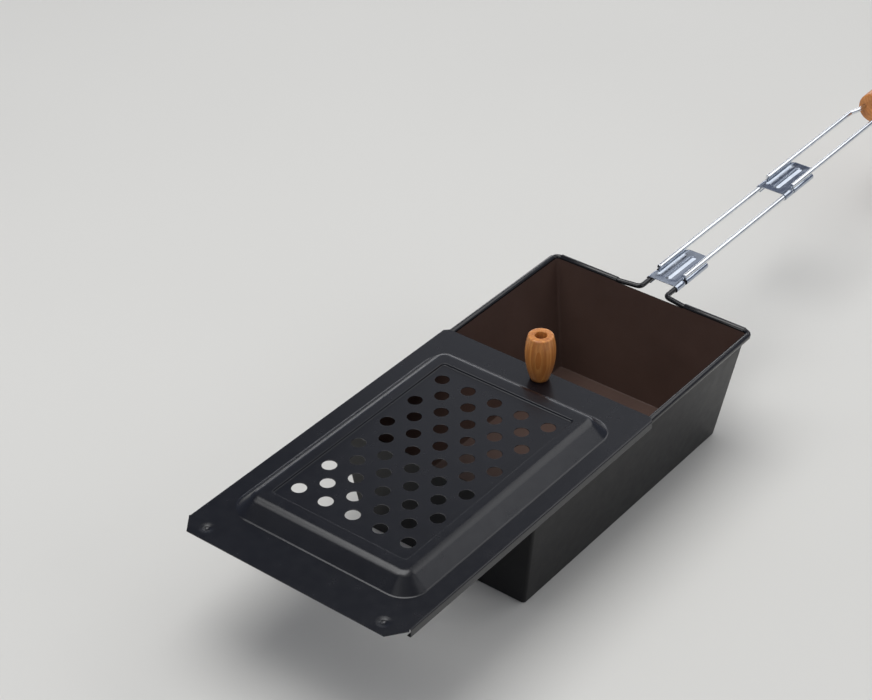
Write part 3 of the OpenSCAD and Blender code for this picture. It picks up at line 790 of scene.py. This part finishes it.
# under the web the sheet is level, so that a wire's closed end passes
openMesh(extensionClip)
pick("VERT", lambda v: abs(v.co.y) < clip["half"] - near
     and clip["level"] < v.co.z < clip["level"] + clip["web"] + near)
bpy.ops.transform.resize(value=(1, 1, 0), center_override=(0, 0, clip["level"] + clip["web"]))
closeMesh()
applyModifier(extensionClip, "BEVEL", width=clip["edgeRound"], segments=2, limit_method="ANGLE",
              angle_limit=math.radians(55))
smoothFaces(extensionClip, 40)

# the grip's clip is the same pressing, further along
take(extensionClip)
bpy.ops.object.duplicate()
gripClip = bpy.context.object
gripClip.name = gripClip.data.name = "gripClip"
gripClip.location = (clip["nextFront"] - clip["front"], 0, clip["nextLevel"] - clip["level"])
bpy.ops.object.transform_apply(location=True, rotation=True, scale=True)
dress(extensionClip, clipZinc, "extension", "zinc_plate", "extension_clip")
dress(gripClip, clipZinc, "grip", "zinc_plate", "grip_clip")
print("wires and clips made")

grip = dict(front=0.3735, butt=0.4685, z=0.0788, endR=0.0102, bellyR=0.0105, edge=0.0014,
            edgeTurns=(0, 18, 36, 54, 72), rings=10, sides=72,
            boreY=0.0059, boreR=0.00165, boreSides=24, groove=0.0069, boreRound=0.0003)
length = grip["butt"] - grip["front"]
stations = []
for turn in grip["edgeTurns"]:      # rounded front end
    lean = math.radians(turn)
    stations.append((grip["edge"] * (1 - math.cos(lean)),
                     grip["endR"] - grip["edge"] * (1 - math.sin(lean))))
for ring in range(grip["rings"] + 1):
    share = ring / grip["rings"]
    bulge = 1 - (2 * share - 1) ** 2
    stations.append((grip["edge"] + (length - 2 * grip["edge"]) * share,
                     grip["endR"] + (grip["bellyR"] - grip["endR"]) * bulge))
frontEnd = stations[:len(grip["edgeTurns"])]
stations += [(length - height, radius) for height, radius in reversed(frontEnd)]
woodGrip = turnOnLathe("woodGrip", (grip["front"], 0, grip["z"]), (1, 0, 0), stations,
                       grip["sides"])
for side in (-1, 1):
    bore = addStart(bpy.ops.mesh.primitive_cylinder_add, "bore",
                    ((grip["front"] + grip["butt"]) / 2, side * grip["boreY"], grip["z"]),
                    turn=(0, math.pi / 2, 0), vertices=grip["boreSides"], radius=grip["boreR"],
                    depth=length * 1.2)
    cutWith(woodGrip, bore)
groove = addStart(bpy.ops.mesh.primitive_cube_add, "groove", (grip["butt"], 0, grip["z"]),
                  (2 * grip["groove"], 2 * grip["boreY"], 2 * grip["boreR"]), size=1)
cutWith(woodGrip, groove)
applyModifier(woodGrip, "BEVEL", width=grip["boreRound"], segments=2, limit_method="ANGLE",
              angle_limit=math.radians(60))
smoothFaces(woodGrip)
dress(woodGrip, gripWood, "grip", "grip_wood", "wooden_grip")
print("grip turned")


# Floor, light and camera

studio = dict(floorSize=16, floorPale="#d8d7d3", floorShade="#d2d1cd", toneSize=0.4,
              zenith="#ffffff", wall="#3c404c", skyline="#8f95a6", wallFoot=0.45, wallTop=0.68,
              worldStrength=0.66)

floor = addStart(bpy.ops.mesh.primitive_plane_add, "floor", (0, 0, 0), size=studio["floorSize"])
floorFinish, tree, place = startFinish("paleFloor")      # matt paper sweep with a very slow tone
tones = addNode(tree, "TexNoise", {"Vector": place, "Scale": 1 / studio["toneSize"], "Detail": 2})
paper = addNode(tree, "Mix", {0: tones.outputs["Fac"], 6: hexColour(studio["floorPale"]),
                              7: hexColour(studio["floorShade"])}, data_type="RGBA")
endFinish(tree, {"Base Color": paper.outputs[2], "Roughness": 0.9})
floor.data.materials.append(floorFinish)

# the room is bright overhead, dark on its upper walls and lighter again low down;
# the walls' foot and top are heights on a sky of radius 1
world = bpy.data.worlds.new("softRoom")
bpy.context.scene.world = world
world.use_nodes = True
tree = world.node_tree
tree.nodes.clear()
sky = addNode(tree, "SeparateXYZ", {"Vector": addNode(tree, "TexCoord").outputs["Generated"]})
climb = addNode(tree, "MapRange", {"Value": sky.outputs["Z"], "From Min": studio["wallTop"],
                                   "From Max": 1.0}, interpolation_type="SMOOTHSTEP")
fall = addNode(tree, "MapRange", {"Value": sky.outputs["Z"], "From Min": studio["wallFoot"],
                                  "From Max": studio["wallTop"]}, interpolation_type="SMOOTHSTEP")
lowTone = addNode(tree, "Mix", {0: fall.outputs["Result"], 6: hexColour(studio["skyline"]),
                                7: hexColour(studio["wall"])}, data_type="RGBA")
roomTone = addNode(tree, "Mix", {0: climb.outputs["Result"], 6: lowTone.outputs[2],
                                 7: hexColour(studio["zenith"])}, data_type="RGBA")
glow = addNode(tree, "Background", {"Color": roomTone.outputs[2],
                                    "Strength": studio["worldStrength"]})
addNode(tree, "OutputWorld", {"Surface": glow.outputs["Background"]})

lamps = dict(
    overhead=dict(at=(-0.08, 0.32, 1.65), aim=(0.0, 0.0, 0.07), size=(1.2, 1.2), power=15),
    farTop=dict(at=(1.41, -0.4, 1.45), aim=(0.15, 0.0, 0.07), size=(2.2, 0.9), power=9.9),
    rightSide=dict(at=(0.2, -1.6, 0.9), aim=(0.0, 0.0, 0.05), size=(0.9, 0.9), power=4),
    cameraSide=dict(at=(-1.5, -0.1, 0.9), aim=(0.0, 0.0, 0.09), size=(0.8, 0.8), power=4),
    backSheen=dict(at=(1.1, 0.76, 0.94), aim=(-0.05, 0.0, 0.08), size=(0.5, 0.5), power=0.3),
    skyline=dict(at=(2.1, 1.3, 0.42), aim=(-0.1, 0.0, 0.08), size=(2.6, 0.4), power=7),
    frontSlope=dict(at=(-0.82, 0.95, 1.56), aim=(-0.2, 0.0, 0.08), size=(0.55, 0.7), power=2.2),
)
for name, lamp in lamps.items():
    bpy.ops.object.light_add(type="AREA", location=lamp["at"])
    light = bpy.context.object
    light.name = light.data.name = name
    light.data.shape = "RECTANGLE"
    light.data.size, light.data.size_y = lamp["size"]
    light.data.energy = lamp["power"]
    towards = Vector(lamp["aim"]) - Vector(lamp["at"])
    light.rotation_euler = towards.to_track_quat("-Z", "Y").to_euler()

view = dict(at=(-0.818876, -0.555759, 0.778102), azimuth=-52.253, elevation=34.901,
            lens=90.01, sensor=36, clip=(0.01, 50))
bpy.ops.object.camera_add(location=view["at"])
camera = bpy.context.object
camera.name = "photoCamera"
turn, tilt = math.radians(view["azimuth"]), math.radians(view["elevation"])
back = Vector((math.sin(turn) * math.cos(tilt), -math.cos(turn) * math.cos(tilt), math.sin(tilt)))
camera.rotation_euler = (-back).to_track_quat("-Z", "Y").to_euler()
camera.data.sensor_fit = "HORIZONTAL"
camera.data.sensor_width = view["sensor"]
camera.data.lens = view["lens"]
camera.data.clip_start, camera.data.clip_end = view["clip"]
bpy.context.scene.camera = camera
bpy.context.scene.view_settings.view_transform = "Standard"
print("floor, light and camera set")
